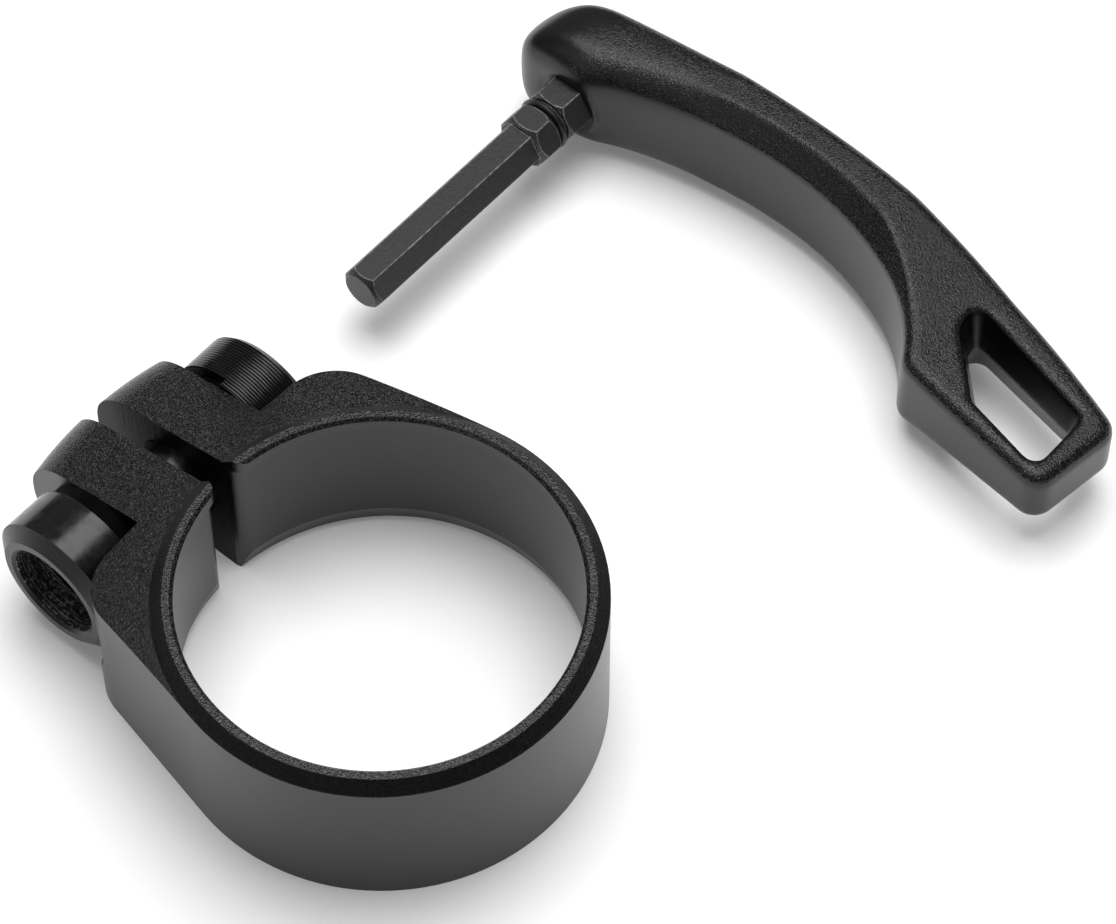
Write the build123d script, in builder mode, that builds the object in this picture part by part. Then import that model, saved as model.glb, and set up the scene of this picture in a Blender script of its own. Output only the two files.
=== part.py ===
from build123d import *
from math import cos, radians, sin, tan
import os

os.makedirs("parts", exist_ok=True)

# Seatpost clamp with its removable lever laid beside it.
# The origin is on the bore's axis, level with the bolt. +Z is up, the ears point to -X,
# and the bolt lies along Y with its head on the -Y side. All sizes in mm.

# Bore for the seat tube, and the lip that sits on the tube's end
bore_d = 34.9
lip_width = 0.5
lip_height = 1.5
lip_edge_break = 0.3
lead_in_height = 2.2
lead_in_width = 0.65

# Turned section of the collar: wall, raised rim, and ears that thin out to a round edge.
# The underside stays flat as far as the flanks reach.
wall = 1.5
ear_root_height = 15.44
ear_slope_deg = 13.0
ear_reach = 15.35
ear_edge_fullness = 0.98
underside_flat = 6.0
rim_height = 1.06
rim_chamfer = 1.06

# Plan of the ears and of the flanks that carry the load into the wall
slot_width = 2.56
slot_mouth_round = 1.4
ear_face_y = 7.43
notch_from_wall = 1.45
flank_deg = 11.4
flank_tip_round = 5.0

# Clamp bolt: hollow, with a cupped round head that takes the lever's hexagon
bolt_from_edge = 9.7
shank_d = 8.0
head_d = 13.4
head_front_y = 14.3
head_cone_length = 0.95
head_rim_d = 10.9
cup_d = 8.8
cup_depth = 2.6
cup_edge_break = 0.3
cup_step_d = 7.0
cup_step_depth = 0.6
socket_across_flats = 5.1
socket_depth = 3.6
pilot_d = 4.8
shank_end_y = 11.9
shank_end_chamfer = 0.6

# Thrust washer under the bolt's head
washer_d = 12.4
washer_thickness = 1.45
washer_edge_break = 0.2

# Barrel nut, keyed into the far ear so that it can slide but not turn
nut_d = 13.2
nut_end_y = 12.7
nut_end_chamfer = 0.5
nut_counterbore_d = 9.4
nut_counterbore_depth = 0.7
nut_relief_length = 0.75
nut_relief_d = 11.0
nut_relief_x = 0.5
key_width = 5.0
key_length = 10.6
key_depth = 2.2

# Lever, lying on its side: outline seen from above, then its thickness along X
lever_width = 12.5
lever_rim_round = 1.2
lever_bevel = 2.0
lever_ridge_round = 0.6
lever_inner = [(-22.6, 55.9), (-14.0, 58.4), (-3.2, 59.1), (8.6, 56.1), (15.6, 49.4)]
lever_tip = [(32.4, 47.3), (33.8, 57.0)]
lever_back = [(14.2, 62.4), (-8.0, 64.4), (-27.6, 62.8)]
lever_end = [(-33.6, 58.2), (-30.4, 54.6)]
lever_head_corner = (-24.9, 54.6)
lever_corner_round = 2.0
lever_head_round = 5.0
lever_thin_from_x = 6.0
lever_thinning = [(19.0, 3.9), (40.0, 2.45)]
lever_thinning_round = 12.0
lever_nose_x = -34.0
lever_nose_fullness = 0.96
lever_window = [(16.6, 58.9), (30.9, 55.9), (30.9, 48.8), (22.5, 50.6), (17.4, 55.6)]
lever_window_round = 0.5
lever_window_draft_deg = 14.0
lever_window_waist = 0.9
lever_window_rim_round = 0.6

# Stepped hexagon bit fixed in the lever's head, with a retaining ring
bit_x = 26.8
bit_across_flats = 4.0
bit_base_across_flats = 5.0
bit_tip_y = 26.65
bit_tip_r = 1.7
bit_tip_length = 0.7
bit_step_y = 48.3
bit_collar_length = 2.6
bit_collar_front_r = 2.35
bit_collar_front_length = 0.65
bit_collar_edge_r = 2.5
bit_collar_edge_length = 0.45
bit_groove_width = 1.2
bit_groove_d = 4.2
bit_recess_d = 6.6
bit_recess_depth = 1.2
bit_root_d = 4.6
bit_root_length = 5.0
ring_wire_d = 0.6
hexagon_sides = 6
hexagon_turn_deg = 30.0

# Clearances and interferences, on the radius
running_clearance = 0.05
face_clearance = 0.05
pocket_clearance = 0.6
key_clearance = 0.05
key_floor_clearance = 0.3
bit_press = 0.01
ring_press = 0.02

# Values worked out from the driving dimensions
bore_r = bore_d / 2
lip_r = bore_r - lip_width
outer_r = bore_r + wall
ear_half = ear_root_height / 2
rim_top = ear_half + rim_height
ear_edge_r = outer_r + ear_reach
ear_edge_half = ear_half - ear_reach * tan(radians(ear_slope_deg))
ear_edge_round = ear_edge_fullness * ear_edge_half / tan(radians((90 - ear_slope_deg) / 2))
notch_x = outer_r + notch_from_wall
bolt_x = ear_edge_r - bolt_from_edge
lip_under = rim_top - lip_height
collar_height = rim_top + ear_half
past = 2.0
same_place = 0.1
lever_head_blend = (lever_head_corner[0] - same_place, lever_inner[0][0] + same_place)
bevel_stand_off = 0.3
bevel_reach = 50.0
floor_z = -ear_half
lever_z = floor_z + lever_width / 2
lever_half = lever_width / 2
lever_nose_round = lever_nose_fullness * lever_half
lever_profile = [(lever_thin_from_x, lever_half), *lever_thinning]
flank = radians(flank_deg)
flank_start = (-outer_r * sin(flank), outer_r * cos(flank))
flank_tip_y = flank_start[1] - (notch_x + flank_start[0]) * tan(flank)
bolt_axis = Axis((-bolt_x, 0, 0), (0, 1, 0))
head_back_y = ear_face_y + face_clearance + washer_thickness + face_clearance
cup_floor_y = head_front_y - cup_depth
step_floor_y = cup_floor_y - cup_step_depth
socket_floor_y = step_floor_y - socket_depth
nut_face_y = ear_face_y + face_clearance
nut_bore_r = shank_d / 2 + running_clearance
key_slot_depth = key_depth + key_floor_clearance - face_clearance
bit_axis = Axis((-bit_x, 0, lever_z), (0, 1, 0))
bit_groove_y = bit_step_y + bit_collar_length
bit_base_y = bit_groove_y + bit_groove_width
bit_seat_y = lever_head_corner[1] + bit_recess_depth
bit_end_y = bit_seat_y + bit_root_length
bit_corner_r = bit_base_across_flats / 2 / cos(radians(hexagon_turn_deg)) + same_place

# Collar: one machined piece, split by the slot
with BuildPart() as collar:
    with BuildSketch(Plane.XZ) as section:
        with BuildLine():
            Polyline(
                (0, -ear_half),
                (outer_r + underside_flat, -ear_half),
                (ear_edge_r, -ear_edge_half),
                (ear_edge_r, ear_edge_half),
                (outer_r, ear_half),
                (outer_r - rim_chamfer, rim_top),
                (0, rim_top),
                close=True,
            )
        make_face()
        fillet(section.vertices().group_by(Axis.X)[-1], ear_edge_round)
    revolve(axis=Axis.Z)
    with BuildSketch(Plane.XY.offset(-collar_height)) as plan:
        Circle(outer_r)
        Polygon(
            (flank_start[0], flank_start[1]),
            (-notch_x, flank_tip_y),
            (-notch_x, ear_face_y),
            (-ear_edge_r - past, ear_face_y),
            (-ear_edge_r - past, -ear_face_y),
            (-notch_x, -ear_face_y),
            (-notch_x, -flank_tip_y),
            (flank_start[0], -flank_start[1]),
            align=None,
        )
        notch_line = [v for v in plan.vertices() if abs(v.X + notch_x) < same_place]
        fillet([v for v in notch_line if abs(v.Y) > ear_face_y + past], flank_tip_round)
    extrude(amount=2 * collar_height, mode=Mode.INTERSECT)
    with Locations((-bolt_x, ear_face_y + ear_edge_r / 2, 0), (-bolt_x, -ear_face_y - ear_edge_r / 2, 0)):
        Cylinder(head_d / 2 + pocket_clearance, ear_edge_r, rotation=(90, 0, 0), mode=Mode.SUBTRACT)
    with BuildSketch(Plane.XY.offset(-ear_half - past)) as bore_and_slot:
        Circle(bore_r)
        with Locations((-ear_edge_r / 2 - past, 0)):
            Rectangle(ear_edge_r + 2 * past, slot_width)
        mouth = [v for v in bore_and_slot.vertices() if -bore_r < v.X < -bore_r + past and abs(v.Y) > 0]
        fillet(mouth, slot_mouth_round)
    extrude(amount=past + ear_half + lip_under, mode=Mode.SUBTRACT)
    with BuildSketch(Plane.XY.offset(lip_under)) as lip_and_slot:
        Circle(lip_r)
        with Locations((-ear_edge_r / 2 - past, 0)):
            Rectangle(ear_edge_r + 2 * past, slot_width)
        mouth = [v for v in lip_and_slot.vertices() if -lip_r < v.X < -lip_r + past and abs(v.Y) > 0]
        fillet(mouth, slot_mouth_round)
    extrude(amount=lip_height + past, mode=Mode.SUBTRACT)
    with Locations((0, 0, -ear_half + lead_in_height / 2)):
        Cone(bore_r + lead_in_width, bore_r, lead_in_height, mode=Mode.SUBTRACT)
    with Locations((0, 0, rim_top - lip_edge_break / 2)):
        Cone(lip_r, lip_r + lip_edge_break, lip_edge_break, mode=Mode.SUBTRACT)
    with Locations((-bolt_x, 0, 0)):
        Cylinder(nut_bore_r, 4 * ear_face_y, rotation=(90, 0, 0), mode=Mode.SUBTRACT)
    with Locations((-bolt_x, ear_face_y - key_slot_depth / 2, 0)):
        Box(
            key_width + 2 * key_clearance,
            key_slot_depth,
            key_length + 2 * key_clearance,
            mode=Mode.SUBTRACT,
        )
collar.part.label = "collar"
export_step(collar.part, "parts/collar.step")

# Clamp bolt: turned head, hollow shank, hexagon socket behind the cup
with BuildPart() as clamp_bolt:
    with BuildSketch() as turned:
        with BuildLine():
            Polyline(
                (-bolt_x, -head_front_y),
                (-bolt_x - head_rim_d / 2, -head_front_y),
                (-bolt_x - head_d / 2, -head_front_y + head_cone_length),
                (-bolt_x - head_d / 2, -head_back_y),
                (-bolt_x - shank_d / 2, -head_back_y),
                (-bolt_x - shank_d / 2, shank_end_y - shank_end_chamfer),
                (-bolt_x - shank_d / 2 + shank_end_chamfer, shank_end_y),
                (-bolt_x, shank_end_y),
                close=True,
            )
        make_face()
    revolve(axis=bolt_axis)
    with Locations((-bolt_x, -head_front_y + cup_depth / 2, 0)):
        Cylinder(cup_d / 2, cup_depth, rotation=(90, 0, 0), mode=Mode.SUBTRACT)
    with Locations((-bolt_x, -head_front_y + cup_edge_break / 2, 0)):
        Cone(cup_d / 2, cup_d / 2 + cup_edge_break, cup_edge_break, rotation=(90, 0, 0), mode=Mode.SUBTRACT)
    with Locations((-bolt_x, -cup_floor_y + cup_step_depth / 2, 0)):
        Cylinder(cup_step_d / 2, cup_step_depth, rotation=(90, 0, 0), mode=Mode.SUBTRACT)
    with BuildSketch(Plane((-bolt_x, -step_floor_y, 0), x_dir=(1, 0, 0), z_dir=(0, 1, 0))):
        RegularPolygon(
            socket_across_flats / 2, hexagon_sides, major_radius=False, rotation=hexagon_turn_deg
        )
    extrude(amount=socket_depth, mode=Mode.SUBTRACT)
    with Locations((-bolt_x, (shank_end_y + past - socket_floor_y) / 2, 0)):
        Cylinder(pilot_d / 2, shank_end_y + past + socket_floor_y, rotation=(90, 0, 0), mode=Mode.SUBTRACT)
clamp_bolt.part.label = "clamp_bolt"
export_step(clamp_bolt.part, "parts/clamp_bolt.step")

# Thrust washer between the bolt's head and the near ear
with BuildPart() as thrust_washer:
    with Locations((-bolt_x, -ear_face_y - washer_thickness / 2, 0)):
        Cylinder(washer_d / 2, washer_thickness, rotation=(90, 0, 0))
    chamfer(thrust_washer.edges().filter_by(GeomType.CIRCLE).group_by(Axis.Y)[0], washer_edge_break)
    with Locations((-bolt_x, -ear_face_y - washer_thickness / 2, 0)):
        Cylinder(nut_bore_r, 2 * washer_thickness, rotation=(90, 0, 0), mode=Mode.SUBTRACT)
thrust_washer.part.label = "thrust_washer"
export_step(thrust_washer.part, "parts/thrust_washer.step")

# Barrel nut: threaded bore, key on its ear side, relief at the top of the key's end
with BuildPart() as barrel_nut:
    with BuildSketch() as nut_section:
        with BuildLine():
            Polyline(
                (-bolt_x - nut_bore_r, nut_face_y),
                (-bolt_x - nut_d / 2, nut_face_y),
                (-bolt_x - nut_d / 2, nut_end_y - nut_end_chamfer),
                (-bolt_x - nut_d / 2 + nut_end_chamfer, nut_end_y),
                (-bolt_x - nut_counterbore_d / 2, nut_end_y),
                (-bolt_x - nut_counterbore_d / 2, nut_end_y - nut_counterbore_depth),
                (-bolt_x - nut_bore_r, nut_end_y - nut_counterbore_depth),
                close=True,
            )
        make_face()
    revolve(axis=bolt_axis)
    with BuildSketch(Plane((-bolt_x, nut_face_y, 0), x_dir=(1, 0, 0), z_dir=(0, 1, 0))):
        Circle(nut_d / 2 + past)
        Circle(nut_relief_d / 2, mode=Mode.SUBTRACT)
        with Locations((nut_d / 2 - nut_relief_x, 0)):
            Rectangle(nut_d, 2 * nut_d, mode=Mode.SUBTRACT)
    extrude(amount=nut_relief_length, mode=Mode.SUBTRACT)
    with Locations((-bolt_x, nut_face_y - key_depth / 2, 0)):
        Box(key_width, key_depth, key_length)
    with Locations((-bolt_x, nut_face_y, 0)):
        Cylinder(nut_bore_r, 4 * key_depth, rotation=(90, 0, 0), mode=Mode.SUBTRACT)
barrel_nut.part.label = "barrel_nut"
export_step(barrel_nut.part, "parts/barrel_nut.step")

# Lever: outline of tangent arcs, thinned towards the tip, with rounded rims and a round-nosed head.
# A wide bevel follows the inner edge, and runs out where the lever gets thin.
with BuildPart() as lever:
    with BuildSketch(Plane.XY.offset(floor_z)) as lever_plan:
        with BuildLine():
            arm = ThreePointArc(*lever_inner[:3])
            bend = TangentArc(arm @ 1, lever_inner[3], tangent=arm % 1)
            neck = TangentArc(bend @ 1, lever_inner[4], tangent=bend % 1)
            Polyline(neck @ 1, *lever_tip)
            back = ThreePointArc(lever_tip[1], *lever_back[:2])
            heel = TangentArc(back @ 1, lever_back[2], tangent=back % 1)
            nose = TangentArc(heel @ 1, lever_end[0], tangent=heel % 1)
            cheek = TangentArc(nose @ 1, lever_end[1], tangent=nose % 1)
            Polyline(cheek @ 1, lever_head_corner, arm @ 0)
        make_face()
        tip_corners = [v for v in lever_plan.vertices() if v.X > lever_inner[4][0] - same_place]
        fillet(tip_corners, lever_corner_round)
        head_corners = lever_plan.vertices().filter_by_position(Axis.X, *lever_head_blend)
        fillet(head_corners, lever_head_round)
    extrude(amount=lever_width)
    with BuildSketch(Plane.XZ.offset(-lever_back[1][1] - past)) as lever_side:
        with BuildLine():
            upper = [(x, lever_z + half) for x, half in lever_profile]
            lower = [(x, lever_z - half) for x, half in lever_profile]
            Polyline(
                (lever_nose_x - past, lever_z + lever_half),
                *upper,
                *lower[::-1],
                (lever_nose_x - past, lever_z - lever_half),
                close=True,
            )
        make_face()
        steps = [v for v in lever_side.vertices() if 0 < v.X < lever_thinning[-1][0] - past]
        fillet(steps, lever_thinning_round)
    extrude(amount=lever_back[1][1], mode=Mode.INTERSECT)
    fillet([e for e in lever.edges() if e.bounding_box().size.X > same_place], lever_rim_round)
    with BuildPart(mode=Mode.PRIVATE) as bevelled:
        with BuildSketch(Plane.XY.offset(floor_z)) as bevel_plan:
            with BuildLine():
                edge = [(x, y - bevel_stand_off) for x, y in lever_inner]
                corner = (lever_head_corner[0], lever_head_corner[1] - bevel_stand_off)
                arm = ThreePointArc(*edge[:3])
                bend = TangentArc(arm @ 1, edge[3], tangent=arm % 1)
                neck = TangentArc(bend @ 1, edge[4], tangent=bend % 1)
                run = Line(neck @ 1, neck @ 1 + neck % 1 * lever_width)
                Polyline(
                    run @ 1,
                    (bevel_reach, (run @ 1).Y),
                    (bevel_reach, 2 * bevel_reach),
                    (-bevel_reach, 2 * bevel_reach),
                    (-bevel_reach, corner[1]),
                    corner,
                    arm @ 0,
                )
            make_face()
            fillet(bevel_plan.vertices().filter_by_position(Axis.X, *lever_head_blend), lever_head_round)
        extrude(amount=lever_width)
        inner_edges = bevelled.edges().filter_by_position(Axis.X, -bevel_reach, bevel_reach, (False, False))
        inner_edges = inner_edges.filter_by_position(Axis.Y, (run @ 1).Y, 2 * bevel_reach, (False, False))
        inner_edges = inner_edges.filter_by(Axis.Z, reverse=True)
        chamfer(inner_edges, lever_bevel + bevel_stand_off)
        ridge = bevelled.edges().filter_by_position(Axis.X, -bevel_reach, bevel_reach, (False, False))
        ridge = ridge.filter_by_position(Axis.Y, (run @ 1).Y, 2 * bevel_reach, (False, False))
        ridge = ridge.group_by(Axis.Z)[0] + ridge.group_by(Axis.Z)[-1]
        fillet(ridge, lever_ridge_round)
    add(bevelled.part, mode=Mode.INTERSECT)
    with BuildSketch(Plane.XZ.offset(-lever_back[1][1] - past)) as lever_nose:
        with Locations((lever_nose_x, lever_z)):
            Rectangle(lever_thinning[-1][0] - lever_nose_x, lever_width, align=(Align.MIN, Align.CENTER))
        fillet(lever_nose.vertices().group_by(Axis.X)[0], lever_nose_round)
    extrude(amount=lever_back[1][1], mode=Mode.INTERSECT)
    with BuildPart(mode=Mode.PRIVATE) as window_cut:
        with BuildSketch(Plane.XY.offset(lever_z)) as window:
            Polygon(*lever_window, align=None)
            offset(amount=-lever_window_waist, kind=Kind.INTERSECTION, mode=Mode.REPLACE)
            fillet(window.vertices(), lever_window_round)
        extrude(window.sketch, amount=lever_half, taper=-lever_window_draft_deg)
        extrude(window.sketch, amount=lever_half, dir=(0, 0, -1), taper=-lever_window_draft_deg)
    add(window_cut.part, mode=Mode.SUBTRACT)
    window_rims = [
        e
        for e in lever.edges(Select.LAST)
        if e.bounding_box().size.Z < past and abs(e.center().Z - lever_z) > past
    ]
    fillet(window_rims, lever_window_rim_round)
    with Locations((-bit_x, bit_seat_y - bit_recess_depth, lever_z)):
        Cylinder(bit_recess_d / 2, 2 * bit_recess_depth, rotation=(90, 0, 0), mode=Mode.SUBTRACT)
    with Locations((-bit_x, bit_seat_y + bit_root_length / 2, lever_z)):
        Cylinder(bit_root_d / 2 - bit_press, bit_root_length, rotation=(90, 0, 0), mode=Mode.SUBTRACT)
lever.part.label = "lever"
export_step(lever.part, "parts/lever.step")

# Hexagon bit: small hexagon for the socket, stepped collar, ring groove and pressed root
with BuildPart() as hex_bit:
    with BuildSketch(Plane((-bit_x, bit_tip_y, lever_z), x_dir=(1, 0, 0), z_dir=(0, 1, 0))):
        RegularPolygon(bit_across_flats / 2, hexagon_sides, major_radius=False)
    extrude(amount=bit_step_y - bit_tip_y)
    with BuildSketch(Plane((-bit_x, bit_step_y, lever_z), x_dir=(1, 0, 0), z_dir=(0, 1, 0))):
        RegularPolygon(bit_base_across_flats / 2, hexagon_sides, major_radius=False)
    extrude(amount=bit_seat_y - bit_step_y)
    with Locations((-bit_x, bit_seat_y + bit_root_length / 2, lever_z)):
        Cylinder(bit_root_d / 2, bit_root_length, rotation=(90, 0, 0))
    with BuildSketch(Plane.XY.offset(lever_z)):
        with BuildLine():
            turned_edge = [
                (0, bit_tip_y),
                (bit_tip_r, bit_tip_y),
                (bit_tip_r + bit_tip_length, bit_tip_y + bit_tip_length),
                (bit_tip_r + bit_tip_length, bit_step_y),
                (bit_collar_front_r, bit_step_y),
                (bit_corner_r, bit_step_y + bit_collar_front_length),
                (bit_corner_r, bit_groove_y - bit_collar_edge_length),
                (bit_collar_edge_r, bit_groove_y),
                (bit_groove_d / 2, bit_groove_y),
                (bit_groove_d / 2, bit_base_y),
                (bit_collar_edge_r, bit_base_y),
                (bit_corner_r, bit_base_y + bit_collar_edge_length),
                (bit_corner_r, bit_end_y),
                (0, bit_end_y),
            ]
            Polyline(*[(r - bit_x, y) for r, y in turned_edge], close=True)
        make_face()
    revolve(axis=bit_axis, mode=Mode.INTERSECT)
hex_bit.part.label = "hex_bit"
export_step(hex_bit.part, "parts/hex_bit.step")

# Retaining ring sprung into the bit's groove
with BuildPart() as bit_ring:
    with Locations((-bit_x, bit_groove_y + bit_groove_width / 2, lever_z)):
        Torus(bit_groove_d / 2 + ring_wire_d / 2 - ring_press, ring_wire_d / 2, rotation=(90, 0, 0))
bit_ring.part.label = "bit_ring"
export_step(bit_ring.part, "parts/bit_ring.step")
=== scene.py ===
import logging
from dataclasses import dataclass
from enum import Enum
from typing import Any, NamedTuple

import bpy
import numpy as np
from mathutils import Matrix, Vector

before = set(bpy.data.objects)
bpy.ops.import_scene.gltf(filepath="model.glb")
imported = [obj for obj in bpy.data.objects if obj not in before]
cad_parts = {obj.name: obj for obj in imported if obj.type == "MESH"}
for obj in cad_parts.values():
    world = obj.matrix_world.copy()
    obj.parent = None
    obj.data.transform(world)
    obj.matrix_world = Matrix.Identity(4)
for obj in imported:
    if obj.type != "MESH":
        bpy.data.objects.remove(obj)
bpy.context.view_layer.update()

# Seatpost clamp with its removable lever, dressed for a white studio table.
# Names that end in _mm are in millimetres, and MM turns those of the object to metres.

MM = 0.001
FULL_SHINE = 0.5  # the Principled shader's usual Specular IOR Level
WAVE_LENGTH = 0.314  # length after which Blender's wave texture repeats at scale 1
WHITE = (1.0, 1.0, 1.0, 1.0)
log = logging.getLogger("seatpost_clamp")


def linear(hex_colour: str) -> tuple[float, float, float, float]:
    """Turns an sRGB hex colour to linear RGBA.

    Args:
        hex_colour: colour such as "#1c1c1d".

    Returns:
        Linear red, green, blue, and alpha 1.
    """
    srgb = np.array([int(hex_colour[i : i + 2], 16) for i in (1, 3, 5)]) / 255.0
    low, high = srgb / 12.92, ((srgb + 0.055) / 1.055) ** 2.4
    return (*np.where(srgb <= 0.04045, low, high).tolist(), 1.0)


def add_node(
    tree: bpy.types.NodeTree, kind: str, links: dict[Any, Any] | None = None, **settings: Any
) -> bpy.types.Node:
    """Adds a node with its settings and links.

    Args:
        tree: node tree that gets the node.
        kind: Blender's node type, where a shader node's goes without the leading ShaderNode.
        links: input name or number to an output socket, a node (its first output), or a plain value.
        settings: the node's own properties.

    Returns:
        The new node.
    """
    node = tree.nodes.new(kind if "Node" in kind else "ShaderNode" + kind)
    for name, value in settings.items():
        setattr(node, name, value)
    for name, value in (links or {}).items():
        source = value.outputs[0] if isinstance(value, bpy.types.Node) else value
        if isinstance(source, bpy.types.NodeSocket):
            tree.links.new(source, node.inputs[name])
        else:
            node.inputs[name].default_value = source
    return node


def new_material(name: str) -> tuple[bpy.types.Material, bpy.types.NodeTree]:
    """Makes an empty node material.

    Args:
        name: the material's name.

    Returns:
        The material and its node tree.
    """
    material = bpy.data.materials.new(name)
    material.use_nodes = True
    material.node_tree.nodes.clear()
    return material, material.node_tree


def shape_group(name: str) -> bpy.types.NodeTree:
    """Makes an empty geometry node group that takes a shape and gives one.

    Args:
        name: the group's name.

    Returns:
        The node tree.
    """
    tree = bpy.data.node_groups.new(name, "GeometryNodeTree")
    for way in ("INPUT", "OUTPUT"):
        tree.interface.new_socket("Geometry", in_out=way, socket_type="NodeSocketGeometry")
    return tree


class Machined(Enum):
    """Which blasted piece it is: each has its own faces that are cut after blasting, or where its grain
    fades.
    """

    COLLAR = "collar"
    LEVER = "lever"


class Turning(Enum):
    """How a turned piece shows its tool lines."""

    SMOOTH = "smooth"
    COMBED = "combed"


class Lamp(Enum):
    """What a softbox does: lights and shines, only lights, or only shows in the shine."""

    KEY = "key"
    WASH = "wash"
    CARD = "card"


class CollarMasks(NamedTuple):
    """Nodes that give 1 on one stretch of the collar and 0 elsewhere."""

    rim: bpy.types.Node
    lip: bpy.types.Node
    slot: bpy.types.Node
    cuts: bpy.types.Node
    bore: bpy.types.Node


@dataclass(frozen=True)
class BlastedAnodised:
    """Black anodised aluminium, bead-blasted: a leathery skin of pits with painted glints on tops, calm on
    walls.
    """

    name: str
    machined: Machined
    dye: str = "#060606"
    # painted glints: the lighter tone painted on the crests of the pits where the skin faces up or down
    painted_glint: str = "#191919"
    # Painted sheen: the still brighter tone painted on the crests of the rim's lip
    painted_lip_sheen: str = "#454546"
    grain_mm: float = 0.13
    pit_depth_mm: float = 0.08
    crest_span: tuple[float, float] = (0.5, 0.68)
    top_span: tuple[float, float] = (0.3, 0.62)
    wall_grain: float = 0.04
    rim_grain: float = 0.7
    roughness: float = 0.22
    wall_roughness: float = 0.3
    cut_roughness: float = 0.45
    blasted_sheen: float = 0.38
    cut_sheen: float = 0.16
    edge_round_mm: float = 0.12
    rim_foot_mm: float = 7.76
    lip_end_mm: float = 17.9
    bore_reach_mm: float = 17.6
    slot_half_mm: float = 1.3
    saw_mm: tuple[float, float, float] = (0.22, 4.0, 5.0)  # fine along X, so that the marks run upright
    saw_turn_deg: float = -38.0  # turns the noise behind the marks, not the marks
    saw_depth: float = 0.3
    ring_mm: float = 0.16
    ring_depth: float = 0.02
    grain_fade_x_mm: tuple[float, float] = (-30.0, -24.0)

    def build(self) -> bpy.types.Material:
        """Makes the material: pits, their crests painted lighter as glints, where the skin faces up or down,
        then the piece's own cuts or fading grain.

        Returns:
            The node material.
        """
        material, tree = new_material(self.name)
        where = add_node(tree, "TexCoord")
        facing = add_node(tree, "SeparateXYZ", {0: where.outputs["Normal"]})
        level = add_node(tree, "Math", {0: facing.outputs["Z"]}, operation="ABSOLUTE")
        tops = add_node(
            tree,
            "MapRange",
            {
                "Value": level,
                "From Min": self.top_span[0],
                "From Max": self.top_span[1],
                "To Min": self.wall_grain,
            },
            interpolation_type="SMOOTHSTEP",
        )
        masks = self.find_cuts(tree, where) if self.machined is Machined.COLLAR else None
        if masks:
            kept = add_node(tree, "MapRange", {"Value": masks.rim, "To Min": 1.0, "To Max": self.rim_grain})
        else:
            kept = self.head_end_grain(tree, where)
        grain = add_node(tree, "Math", {0: tops, 1: kept}, operation="MULTIPLY")
        pits = add_node(
            tree,
            "TexNoise",
            {"Vector": where.outputs["Object"], "Scale": 1 / (self.grain_mm * MM), "Detail": 0.0},
        )
        height = add_node(tree, "Math", {0: pits, 1: grain}, operation="MULTIPLY")
        crests = add_node(
            tree,
            "MapRange",
            {"Value": pits, "From Min": self.crest_span[0], "From Max": self.crest_span[1]},
        )
        # Painted glints: the crests of the pits are painted lighter, most where the skin faces up or down
        painted_glint_share = add_node(tree, "Math", {0: crests, 1: grain}, operation="MULTIPLY")
        painted_crest_tone: Any = linear(self.painted_glint)
        sheen: Any = FULL_SHINE
        matt = add_node(
            tree, "MapRange", {"Value": grain, "To Min": self.wall_roughness, "To Max": self.roughness}
        )
        if masks:
            height = self.tool_marks(tree, where, masks, height)
            # The lip's crests are painted brighter still: painted sheen
            painted_crest_tone = add_node(
                tree,
                "Mix",
                {"Factor": masks.lip, 6: painted_crest_tone, 7: linear(self.painted_lip_sheen)},
                data_type="RGBA",
            ).outputs[2]
            blasted = add_node(
                tree, "MapRange", {"Value": grain, "To Min": FULL_SHINE, "To Max": self.blasted_sheen}
            )
            sheen = add_node(tree, "Mix", {"Factor": masks.cuts, 2: blasted, 3: self.cut_sheen})
            matt = add_node(tree, "Mix", {"Factor": masks.cuts, 2: matt, 3: self.cut_roughness})
        tone = add_node(
            tree, "Mix", {"Factor": painted_glint_share, 6: linear(self.dye), 7: painted_crest_tone}, data_type="RGBA"
        )
        rounded = add_node(tree, "Bevel", {"Radius": self.edge_round_mm * MM}, samples=4)
        bump = add_node(
            tree,
            "Bump",
            {"Height": height, "Distance": self.pit_depth_mm * MM, "Strength": 1.0, "Normal": rounded},
        )
        shader = add_node(
            tree,
            "BsdfPrincipled",
            {
                "Base Color": tone.outputs[2],
                "Roughness": matt,
                "Specular IOR Level": sheen,
                "Normal": bump,
            },
        )
        add_node(tree, "OutputMaterial", {"Surface": shader})
        return material

    def head_end_grain(self, tree: bpy.types.NodeTree, where: bpy.types.Node) -> bpy.types.Node:
        """Finds how much grain is left along the lever: it fades out towards the end of its head, leaving no
        painted glints there.

        Args:
            tree: the material's nodes.
            where: the Texture Coordinate node.

        Returns:
            Share of grain that is kept.
        """
        place = add_node(tree, "SeparateXYZ", {0: where.outputs["Object"]})
        return add_node(
            tree,
            "MapRange",
            {
                "Value": place.outputs["X"],
                "From Min": self.grain_fade_x_mm[0] * MM,
                "From Max": self.grain_fade_x_mm[1] * MM,
                "To Min": self.wall_grain,
            },
            interpolation_type="SMOOTHSTEP",
        )

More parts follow.
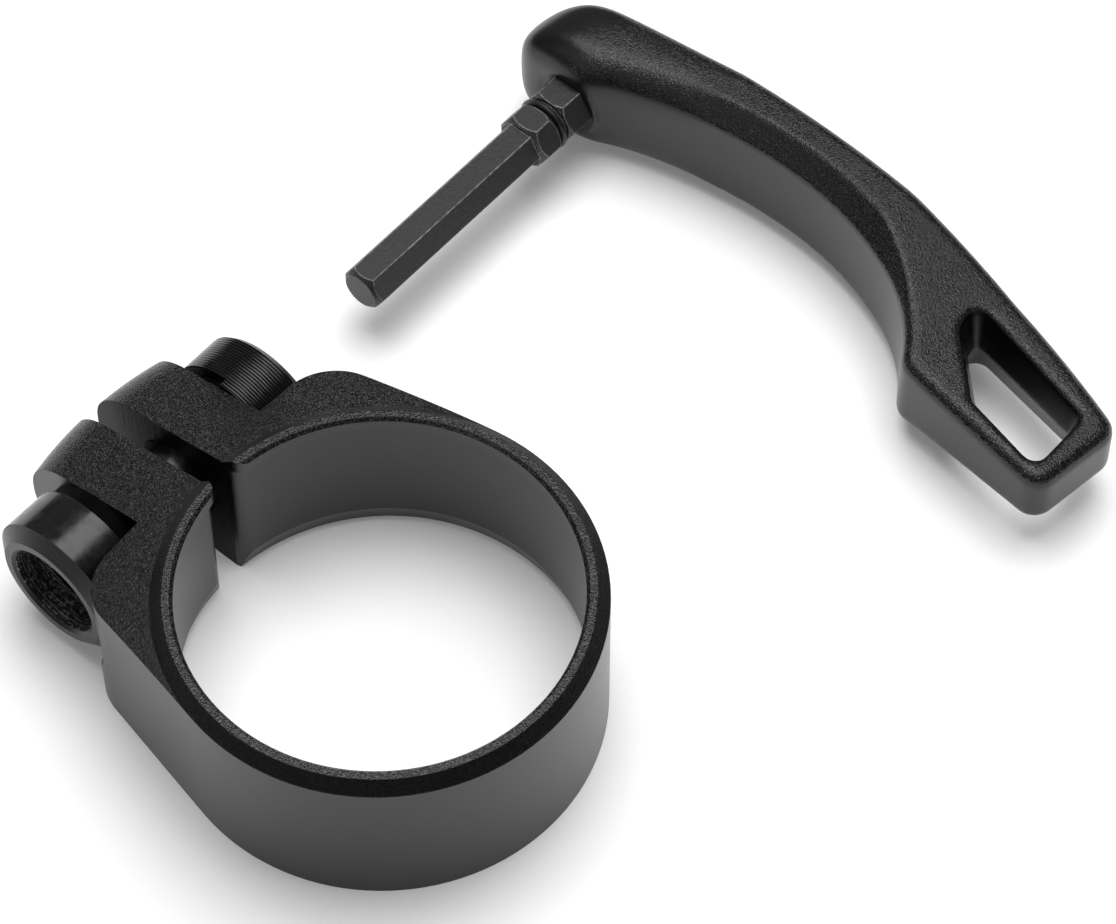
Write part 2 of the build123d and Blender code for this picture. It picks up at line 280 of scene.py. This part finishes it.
    def find_cuts(self, tree: bpy.types.NodeTree, where: bpy.types.Node) -> CollarMasks:
        """Finds the stretches of the collar that differ from its blasted skin.

        Args:
            tree: the material's nodes.
            where: the Texture Coordinate node.

        Returns:
            The raised rim, the lip on its top, the sawn slot, the dull cuts (chamfer and slot), and the bore.
        """
        place = add_node(tree, "SeparateXYZ", {0: where.outputs["Object"]})
        flat = add_node(tree, "CombineXYZ", {"X": place.outputs["X"], "Y": place.outputs["Y"]})
        radius = add_node(tree, "VectorMath", {0: flat}, operation="LENGTH").outputs["Value"]
        rim = add_node(
            tree, "Math", {0: place.outputs["Z"], 1: self.rim_foot_mm * MM}, operation="GREATER_THAN"
        )
        outside = add_node(tree, "Math", {0: radius, 1: self.lip_end_mm * MM}, operation="GREATER_THAN")
        chamfer = add_node(tree, "Math", {0: rim, 1: outside}, operation="MULTIPLY")
        lip = add_node(tree, "Math", {0: rim, 1: chamfer}, operation="SUBTRACT")
        off_middle = add_node(tree, "Math", {0: place.outputs["Y"]}, operation="ABSOLUTE")
        in_gap = add_node(tree, "Math", {0: off_middle, 1: self.slot_half_mm * MM}, operation="LESS_THAN")
        ear_side = add_node(tree, "Math", {0: place.outputs["X"], 1: 0.0}, operation="LESS_THAN")
        slot = add_node(tree, "Math", {0: in_gap, 1: ear_side}, operation="MULTIPLY")
        cuts = add_node(tree, "Math", {0: chamfer, 1: slot}, operation="MAXIMUM")
        bore = add_node(tree, "Math", {0: radius, 1: self.bore_reach_mm * MM}, operation="LESS_THAN")
        return CollarMasks(rim, lip, slot, cuts, bore)

    def tool_marks(
        self, tree: bpy.types.NodeTree, where: bpy.types.Node, masks: CollarMasks, height: bpy.types.Node
    ) -> bpy.types.Node:
        """Adds upright saw marks inside the slot and faint turned rings in the bore.

        Args:
            tree: the material's nodes.
            where: the Texture Coordinate node.
            masks: where the slot and the bore are.
            height: bump height so far.

        Returns:
            Bump height with the marks.
        """
        drawn = add_node(
            tree,
            "Mapping",
            {
                "Vector": where.outputs["Object"],
                "Rotation": (0.0, np.radians(self.saw_turn_deg), 0.0),
                "Scale": tuple(1 / (length * MM) for length in self.saw_mm),
            },
        )
        saw = add_node(tree, "TexNoise", {"Vector": drawn, "Scale": 1.0, "Detail": 2.0})
        place = add_node(tree, "SeparateXYZ", {0: where.outputs["Object"]})
        rings = add_node(
            tree,
            "TexNoise",
            {"W": place.outputs["Z"], "Scale": 1 / (self.ring_mm * MM), "Detail": 1.0},
            noise_dimensions="1D",
        )
        for marks, mask, depth in ((saw, masks.slot, self.saw_depth), (rings, masks.bore, self.ring_depth)):
            there = add_node(tree, "Math", {0: marks, 1: mask}, operation="MULTIPLY")
            height = add_node(tree, "Math", {0: there, 1: depth, 2: height}, operation="MULTIPLY_ADD")
        return height


@dataclass(frozen=True)
class TurnedAnodised:
    """Gloss black anodised aluminium off the lathe: deep black, with sharp lights and fine tool lines."""

    name: str
    turning: Turning
    axis_x_mm: float
    dye: str = "#060606"
    rubbed: str = "#a2a2a4"
    pitch_mm: float = 0.28  # about 0.23 on the real nut, drawn coarser so that the lines show
    line_depth_mm: float = 0.022
    outward_share: float = 0.8
    uneven_pitch: float = 0.4
    uneven_weight: float = 0.6
    face_span: tuple[float, float] = (0.3, 0.5)
    groove_shine: float = 0.02
    cloud_mm: float = 0.8
    cloud_span: tuple[float, float] = (0.35, 0.7)
    roughness_span: tuple[float, float] = (0.13, 0.29)
    face_roughness: float = 0.36
    edge_round_mm: float = 0.1
    cup_r_mm: float = 4.45
    cup_end_y_mm: float = -11.6
    cup_roughness: float = 0.6
    speck_mm: float = 0.3
    speck_span: tuple[float, float] = (0.84, 0.98)

    def build(self) -> bpy.types.Material:
        """Makes the material: tool lines follow the station, the way along plus a share of the radius.

        Returns:
            The node material.
        """
        material, tree = new_material(self.name)
        where = add_node(tree, "TexCoord")
        centred = add_node(
            tree,
            "Mapping",
            {"Vector": where.outputs["Object"], "Location": (-self.axis_x_mm * MM, 0.0, 0.0)},
        )
        place = add_node(tree, "SeparateXYZ", {0: centred})
        across = add_node(tree, "CombineXYZ", {"X": place.outputs["X"], "Z": place.outputs["Z"]})
        radius = add_node(tree, "VectorMath", {0: across}, operation="LENGTH").outputs["Value"]
        station = add_node(
            tree, "Math", {0: radius, 1: self.outward_share, 2: place.outputs["Y"]}, operation="MULTIPLY_ADD"
        )
        facing = add_node(tree, "SeparateXYZ", {0: where.outputs["Normal"]})
        along = add_node(tree, "Math", {0: facing.outputs["Y"]}, operation="ABSOLUTE")
        is_face = add_node(
            tree, "MapRange", {"Value": along, "From Min": self.face_span[0], "From Max": self.face_span[1]}
        )
        uneven = add_node(
            tree,
            "TexNoise",
            {"W": station, "Scale": 1 / (self.uneven_pitch * self.pitch_mm * MM), "Detail": 0.0},
            noise_dimensions="1D",
        )
        shine: Any = FULL_SHINE
        if self.turning is Turning.COMBED:
            comb = add_node(tree, "CombineXYZ", {"X": station})
            lines = add_node(
                tree,
                "TexWave",
                {"Vector": comb, "Scale": WAVE_LENGTH / (self.pitch_mm * MM)},
                bands_direction="X",
            ).outputs["Fac"]
            marks = add_node(
                tree, "Math", {0: uneven, 1: self.uneven_weight, 2: lines}, operation="MULTIPLY_ADD"
            )
            shine = add_node(
                tree, "MapRange", {"Value": lines, "To Min": self.groove_shine, "To Max": FULL_SHINE}
            )
        else:
            marks = add_node(tree, "Math", {0: uneven, 1: is_face}, operation="MULTIPLY")
        rounded = add_node(tree, "Bevel", {"Radius": self.edge_round_mm * MM}, samples=4)
        bump = add_node(
            tree,
            "Bump",
            {"Height": marks, "Distance": self.line_depth_mm * MM, "Strength": 1.0, "Normal": rounded},
        )
        cloud = add_node(
            tree,
            "TexNoise",
            {"Vector": where.outputs["Object"], "Scale": 1 / (self.cloud_mm * MM), "Detail": 5.0},
        )
        smear = add_node(
            tree,
            "MapRange",
            {
                "Value": cloud,
                "From Min": self.cloud_span[0],
                "From Max": self.cloud_span[1],
                "To Min": self.roughness_span[0],
                "To Max": self.roughness_span[1],
            },
        )
        matt = add_node(tree, "Mix", {"Factor": is_face, 2: smear, 3: self.face_roughness})
        inside = add_node(tree, "Math", {0: radius, 1: self.cup_r_mm * MM}, operation="LESS_THAN")
        front = add_node(
            tree, "Math", {0: place.outputs["Y"], 1: self.cup_end_y_mm * MM}, operation="LESS_THAN"
        )
        in_cup = add_node(tree, "Math", {0: inside, 1: front}, operation="MULTIPLY")
        specks = add_node(
            tree,
            "TexNoise",
            {"Vector": where.outputs["Object"], "Scale": 1 / (self.speck_mm * MM), "Detail": 2.0},
        )
        ringed = add_node(
            tree, "Math", {0: uneven, 1: self.uneven_weight, 2: specks}, operation="MULTIPLY_ADD"
        )
        worn = add_node(
            tree,
            "MapRange",
            {"Value": ringed, "From Min": self.speck_span[0], "From Max": self.speck_span[1]},
        )
        bare = add_node(tree, "Math", {0: in_cup, 1: worn}, operation="MULTIPLY")
        tone = add_node(
            tree, "Mix", {"Factor": bare, 6: linear(self.dye), 7: linear(self.rubbed)}, data_type="RGBA"
        )
        scuffed = add_node(tree, "Mix", {"Factor": in_cup, 2: matt, 3: self.cup_roughness})
        shader = add_node(
            tree,
            "BsdfPrincipled",
            {
                "Base Color": tone.outputs[2],
                "Metallic": bare,
                "Roughness": scuffed,
                "Specular IOR Level": shine,
                "Normal": bump,
            },
        )
        add_node(tree, "OutputMaterial", {"Surface": shader})
        return material


@dataclass(frozen=True)
class BlackOxideSteel:
    """Black oxide on steel: a dull charcoal skin, cloudy, rubbed to bare grey along its edges."""

    name: str
    skin: str = "#202021"
    skin_light: str = "#3a3a3b"
    bare: str = "#b4b4b6"
    metallic: float = 0.25
    roughness: float = 0.4
    sheen: float = FULL_SHINE
    scratch_mm: float = 0.2
    scratch_stretch: float = 0.5
    scratch_depth_mm: float = 0.06
    edge_mm: float = 0.2
    edge_span: tuple[float, float] = (0.99, 0.93)
    wear: float = 0.9
    wear_span: tuple[float, float] = (0.4, 0.62)
    least_wear: float = 0.25

    def build(self) -> bpy.types.Material:
        """Makes the material: bare where a rounded edge turns away from its face, broken up by the clouds.

        Returns:
            The node material.
        """
        material, tree = new_material(self.name)
        where = add_node(tree, "TexCoord")
        drawn = add_node(
            tree, "Mapping", {"Vector": where.outputs["Object"], "Scale": (1.0, self.scratch_stretch, 1.0)}
        )
        cloud = add_node(
            tree,
            "TexNoise",
            {"Vector": drawn, "Scale": 1 / (self.scratch_mm * MM), "Detail": 5.0, "Roughness": 0.65},
        )
        rounded = add_node(tree, "Bevel", {"Radius": self.edge_mm * MM}, samples=6)
        geometry = add_node(tree, "NewGeometry")
        agree = add_node(
            tree, "VectorMath", {0: rounded, 1: geometry.outputs["True Normal"]}, operation="DOT_PRODUCT"
        )
        edge = add_node(
            tree,
            "MapRange",
            {
                "Value": agree.outputs["Value"],
                "From Min": self.edge_span[0],
                "From Max": self.edge_span[1],
                "To Max": self.wear,
            },
        )
        broken = add_node(
            tree,
            "MapRange",
            {
                "Value": cloud,
                "From Min": self.wear_span[0],
                "From Max": self.wear_span[1],
                "To Min": self.least_wear,
            },
        )
        rubbed = add_node(tree, "Math", {0: edge, 1: broken}, operation="MULTIPLY")
        skin = add_node(
            tree, "Mix", {"Factor": cloud, 6: linear(self.skin), 7: linear(self.skin_light)}, data_type="RGBA"
        )
        tone = add_node(
            tree, "Mix", {"Factor": rubbed, 6: skin.outputs[2], 7: linear(self.bare)}, data_type="RGBA"
        )
        bump = add_node(
            tree,
            "Bump",
            {"Height": cloud, "Distance": self.scratch_depth_mm * MM, "Strength": 1.0, "Normal": rounded},
        )
        shader = add_node(
            tree,
            "BsdfPrincipled",
            {
                "Base Color": tone.outputs[2],
                "Metallic": self.metallic,
                "Roughness": self.roughness,
                "Specular IOR Level": self.sheen,
                "Normal": bump,
            },
        )
        add_node(tree, "OutputMaterial", {"Surface": shader})
        return material


@dataclass(frozen=True)
class StudioPaper:
    """Seamless white paper: matt, and lifted so that it reads as white but keeps the object's shadow."""

    name: str = "white_studio_paper"
    colour: str = "#e8e8e8"
    lift: float = 0.15

    def build(self) -> bpy.types.Material:
        """Makes the material.

        Returns:
            The node material.
        """
        material, tree = new_material(self.name)
        path = add_node(tree, "LightPath")
        direct = add_node(
            tree,
            "Math",
            {0: path.outputs["Is Camera Ray"], 1: path.outputs["Is Glossy Ray"]},
            operation="MAXIMUM",
        )
        seen = add_node(
            tree, "Math", {0: direct, 1: path.outputs["Is Transmission Ray"]}, operation="MAXIMUM"
        )
        amount = add_node(tree, "Math", {0: seen, 1: self.lift}, operation="MULTIPLY")
        matt = add_node(tree, "BsdfDiffuse", {"Color": linear(self.colour)})
        glow = add_node(tree, "Emission", {"Color": WHITE, "Strength": amount})
        both = add_node(tree, "AddShader", {0: matt, 1: glow})
        add_node(tree, "OutputMaterial", {"Surface": both})
        return material


def dress(node: str, material: bpy.types.Material) -> bpy.types.Object:
    """Gives a CAD node its finish.

    Args:
        node: the CAD node's name.
        material: the finish.

    Returns:
        The node's object.
    """
    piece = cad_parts[node]
    piece.data.materials.clear()
    piece.data.materials.append(material)
    log.info("%s: %s", node, material.name)
    return piece


@dataclass
class Collar:
    """The split ring."""

    # Satin black with painted light speckles (glints) on top, plain grey-black walls, and a brighter painted
    # sheen on the rim's lip
    finish: BlastedAnodised = BlastedAnodised("blasted_black_anodised_collar", Machined.COLLAR)

    def build(self) -> None:
        """Dresses the collar."""
        dress("collar", self.finish.build())


@dataclass
class Fastener:
    """Bolt, thrust washer and barrel nut on one axis."""

    axis_x_mm: float = -24.6
    nut_line_depth_mm: float = 0.012
    # Painted shade: so dull and dark that it reads as a shadow under the head
    washer: BlackOxideSteel = BlackOxideSteel(
        "black_oxide_washer_painted_shade", skin="#030303", skin_light="#060606", bare="#141414", sheen=0.02
    )

    def build(self) -> None:
        """Dresses the three pieces."""
        # Polished black with one broad light, and worn bright specks in its cup
        head = TurnedAnodised("turned_black_anodised_bolt", Turning.SMOOTH, self.axis_x_mm)
        # Black with a comb of fine light lines round it
        barrel = TurnedAnodised(
            "turned_black_anodised_nut",
            Turning.COMBED,
            self.axis_x_mm,
            line_depth_mm=self.nut_line_depth_mm,
        )
        dress("clamp_bolt", head.build())
        dress("barrel_nut", barrel.build())
        dress("thrust_washer", self.washer.build())


@dataclass
class LeverTool:
    """The removable lever, its hexagon bit and the bit's ring."""

    skin_mm: float = 0.25
    rounds: int = 70
    arm_pull: float = 0.004
    head_x_mm: tuple[float, float] = (-13.0, -28.0)
    bit_x_mm: float = -26.8
    bit_z_mm: float = -1.47
    bit_keep_mm: tuple[float, float] = (3.5, 5.0)
    plug_r_mm: float = 3.35
    plug_y_mm: tuple[float, float] = (54.75, 57.0)
    plug_sides: int = 48
    # Glossier than the collar, so that the ridge along the arm catches the light
    arm: BlastedAnodised = BlastedAnodised(
        "blasted_black_anodised_lever",
        Machined.LEVER,
        # Its crests are painted a little lighter than the collar's, as painted glints
        painted_glint="#222223",
        pit_depth_mm=0.055,
        roughness=0.18,
    )
    # Charcoal with thin, pale worn edges
    bit: BlackOxideSteel = BlackOxideSteel("black_oxide_bit_steel")
    # Darker and smoother than the bit, so that it reads as a black line in the groove
    ring: BlackOxideSteel = BlackOxideSteel(
        "black_spring_steel_ring", skin="#121212", skin_light="#1d1d1d", roughness=0.3
    )

    def fill_seat(self, lever: bpy.types.Object) -> None:
        """Fills the recess around the bit with a plain round plug, so that the skin closes up to the bit.

        Args:
            lever: the lever's object.
        """
        tree = shape_group("filled_seat")
        solid = add_node(tree, "NodeGroupInput")
        low, high = self.plug_y_mm
        plug = add_node(
            tree,
            "GeometryNodeMeshCylinder",
            {"Vertices": self.plug_sides, "Radius": self.plug_r_mm * MM, "Depth": (high - low) * MM},
        )
        placed = add_node(
            tree,
            "GeometryNodeTransform",
            {
                "Geometry": plug,
                "Translation": (self.bit_x_mm * MM, (low + high) / 2 * MM, self.bit_z_mm * MM),
                "Rotation": (np.pi / 2, 0.0, 0.0),
            },
        )
        both = add_node(tree, "GeometryNodeJoinGeometry", {0: placed})
        tree.links.new(solid.outputs[0], both.inputs[0])
        add_node(tree, "NodeGroupOutput", {0: both})
        lever.modifiers.new("filled_seat", "NODES").node_group = tree

    def soften(self, lever: bpy.types.Object) -> None:
        """Gives the lever the soft edges of a casting and a full, round head.

        The solid gets an even skin of small squares. Each point then moves again and again to the mean of
        itself and its neighbours. The neighbours count fully at the head, hardly at all along the arm, and no
        more than that at the bit.

        Args:
            lever: the lever's object.
        """
        skin = lever.modifiers.new("even_skin", "REMESH")
        skin.mode, skin.voxel_size, skin.use_smooth_shade = "VOXEL", self.skin_mm * MM, True
        tree = shape_group("soft_edges")
        solid = add_node(tree, "NodeGroupInput")
        place = add_node(tree, "GeometryNodeInputPosition")
        along = add_node(tree, "SeparateXYZ", {0: place})
        head = add_node(
            tree,
            "MapRange",
            {
                "Value": along.outputs["X"],
                "From Min": self.head_x_mm[0] * MM,
                "From Max": self.head_x_mm[1] * MM,
            },
            interpolation_type="SMOOTHSTEP",
        )
        from_bit = add_node(
            tree,
            "VectorMath",
            {0: place, 1: (self.bit_x_mm * MM, 0.0, self.bit_z_mm * MM)},
            operation="SUBTRACT",
        )
        across = add_node(tree, "VectorMath", {0: from_bit, 1: (1.0, 0.0, 1.0)}, operation="MULTIPLY")
        reach = add_node(tree, "VectorMath", {0: across}, operation="LENGTH")
        clear = add_node(
            tree,
            "MapRange",
            {
                "Value": reach.outputs["Value"],
                "From Min": self.bit_keep_mm[0] * MM,
                "From Max": self.bit_keep_mm[1] * MM,
            },
        )
        share = add_node(tree, "Math", {0: head, 1: clear}, operation="MULTIPLY")
        pull = add_node(tree, "Math", {0: share, 1: self.arm_pull}, operation="MAXIMUM")
        mean = add_node(
            tree,
            "GeometryNodeBlurAttribute",
            {"Value": place, "Iterations": self.rounds, "Weight": pull},
            data_type="FLOAT_VECTOR",
        )
        moved = add_node(tree, "GeometryNodeSetPosition", {"Geometry": solid, "Position": mean})
        add_node(tree, "NodeGroupOutput", {0: moved})
        lever.modifiers.new("soft_edges", "NODES").node_group = tree

    def build(self) -> None:
        """Shapes the lever and dresses the three pieces."""
        lever = dress("lever", self.arm.build())
        self.fill_seat(lever)
        self.soften(lever)
        dress("hex_bit", self.bit.build())
        dress("bit_ring", self.ring.build())


@dataclass(frozen=True)
class Softbox:
    """A square lamp that faces the object. Its level is its power in pi watts for each square metre."""

    name: str
    use: Lamp
    towards: tuple[float, float, float]
    away_m: float
    size_m: float
    level: float
    aim_m: tuple[float, float, float] = (0.0, 0.02, 0.0)

    def hang(self) -> None:
        """Hangs the lamp in the direction that it has from the object."""
        lamp = bpy.data.lights.new(self.name, "AREA")
        lamp.shape, lamp.size = "SQUARE", self.size_m
        lamp.energy = self.level * np.pi * self.size_m**2
        holder = bpy.data.objects.new(self.name, lamp)
        holder.visible_glossy = self.use is not Lamp.WASH
        holder.visible_diffuse = self.use is not Lamp.CARD
        direction = Vector(self.towards).normalized()
        holder.location = Vector(self.aim_m) + direction * self.away_m
        holder.rotation_mode = "QUATERNION"
        holder.rotation_quaternion = direction.to_track_quat("Z", "Y")
        bpy.context.scene.collection.objects.link(holder)


@dataclass
class Studio:
    """White table, soft light from above, and the photograph's camera."""

    floor_z_mm: float = -7.72
    floor_half_m: float = 3.0
    floor_cells: int = 8
    paper: StudioPaper = StudioPaper()
    softboxes: tuple[Softbox, ...] = (
        Softbox("back_wash", Lamp.WASH, (-0.15, 0.37, 0.92), away_m=0.7, size_m=0.72, level=2.95),
        Softbox("overhead_softbox", Lamp.KEY, (-0.12, 0.1, 1.0), away_m=0.6, size_m=0.45, level=3.6),
        Softbox("back_panel", Lamp.CARD, (-0.6, 0.35, 0.72), away_m=0.7, size_m=0.8, level=0.12),
        Softbox("front_card", Lamp.CARD, (-0.2, -0.68, 0.7), away_m=0.7, size_m=0.5, level=0.5),
    )
    sky: float = 0.14
    eye_mm: tuple[float, float, float] = (142.86, -143.28, 326.72)
    forward: tuple[float, float, float] = (-0.3652, 0.4234, -0.8291)
    lens_mm: float = 148.39
    sensor_mm: float = 36.0
    sight_m: tuple[float, float] = (0.01, 20.0)

    def floor(self) -> None:
        """Lays the table: a flat grid, x and y evenly spaced from corner to corner."""
        lines = self.floor_cells + 1
        steps = np.linspace(-self.floor_half_m, self.floor_half_m, lines)
        x, y = np.meshgrid(steps, steps)
        points = np.column_stack([x.ravel(), y.ravel(), np.full(x.size, self.floor_z_mm * MM)])
        cells = np.arange(self.floor_cells)
        first = (cells[:, None] * lines + cells).ravel()
        faces = np.column_stack([first, first + 1, first + lines + 1, first + lines])
        mesh = bpy.data.meshes.new("studio_floor")
        mesh.from_pydata(points.tolist(), [], faces.tolist())
        mesh.materials.append(self.paper.build())
        floor = bpy.data.objects.new("studio_floor", mesh)
        bpy.context.scene.collection.objects.link(floor)

    def room(self) -> None:
        """Makes a dim room, which the camera sees as white."""
        world = bpy.data.worlds.new("studio_room")
        world.use_nodes = True
        tree = world.node_tree
        tree.nodes.clear()
        path = add_node(tree, "LightPath")
        level = add_node(
            tree, "MapRange", {"Value": path.outputs["Is Camera Ray"], "To Min": self.sky, "To Max": 1.0}
        )
        walls = add_node(tree, "Background", {"Color": WHITE, "Strength": level})
        add_node(tree, "OutputWorld", {"Surface": walls})
        bpy.context.scene.world = world

    def camera(self) -> None:
        """Places the camera from the eye point and viewing direction, with the horizon level."""
        forward = Vector(self.forward).normalized()
        right = forward.cross(Vector((0.0, 0.0, 1.0))).normalized()
        up = right.cross(forward)
        data = bpy.data.cameras.new("photo_camera")
        data.lens, data.sensor_width, data.sensor_fit = self.lens_mm, self.sensor_mm, "HORIZONTAL"
        data.clip_start, data.clip_end = self.sight_m
        camera = bpy.data.objects.new("photo_camera", data)
        turn = Matrix((right, up, -forward)).transposed().to_4x4()
        camera.matrix_world = Matrix.Translation(Vector(self.eye_mm) * MM) @ turn
        bpy.context.scene.collection.objects.link(camera)
        bpy.context.scene.camera = camera

    def build(self) -> None:
        """Builds the whole studio."""
        self.floor()
        for softbox in self.softboxes:
            softbox.hang()
        self.room()
        self.camera()


def main() -> None:
    logging.basicConfig(level=logging.INFO, format="%(name)s %(message)s")
    bpy.context.scene.view_settings.view_transform = "Standard"
    for part in (Collar(), Fastener(), LeverTool(), Studio()):
        part.build()
        log.info("built %s", type(part).__name__)


if __name__ == "__main__":
    main()
